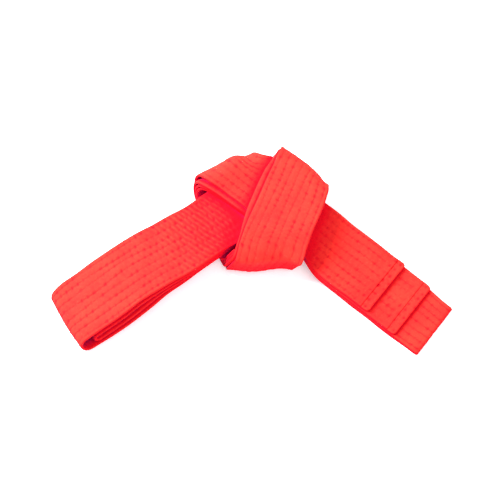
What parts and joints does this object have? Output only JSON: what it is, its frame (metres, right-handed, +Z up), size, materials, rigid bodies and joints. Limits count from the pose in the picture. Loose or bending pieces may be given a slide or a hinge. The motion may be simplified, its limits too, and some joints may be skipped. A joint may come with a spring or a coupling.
{
  "type": "martial arts belt",
  "caption": "Wide quilted cloth belt folded in four and tied in one flat five-sided knot, with stepped tips on the right.",
  "frame": {"origin": "on the floor under the middle of the tied belt's box", "axes": "+X towards the stepped tips on the right, +Y away from the viewer, towards the knot's top fold, +Z up off the floor it lies on"},
  "size_m": [0.2504, 0.1338, 0.0305],
  "materials": {
    "cover_cotton": "matte woven cotton",
    "core_cotton": "unbleached cotton",
    "hem_cotton": "matte folded and stitched cotton"
  },
  "bodies": {
    "root": {"cover": "cover_cotton", "core_ply_1": "core_cotton", "core_ply_2": "core_cotton", "core_ply_3": "core_cotton", "tip_a_hem": "hem_cotton", "tip_b_hem": "hem_cotton"}
  },
  "joints": []
}
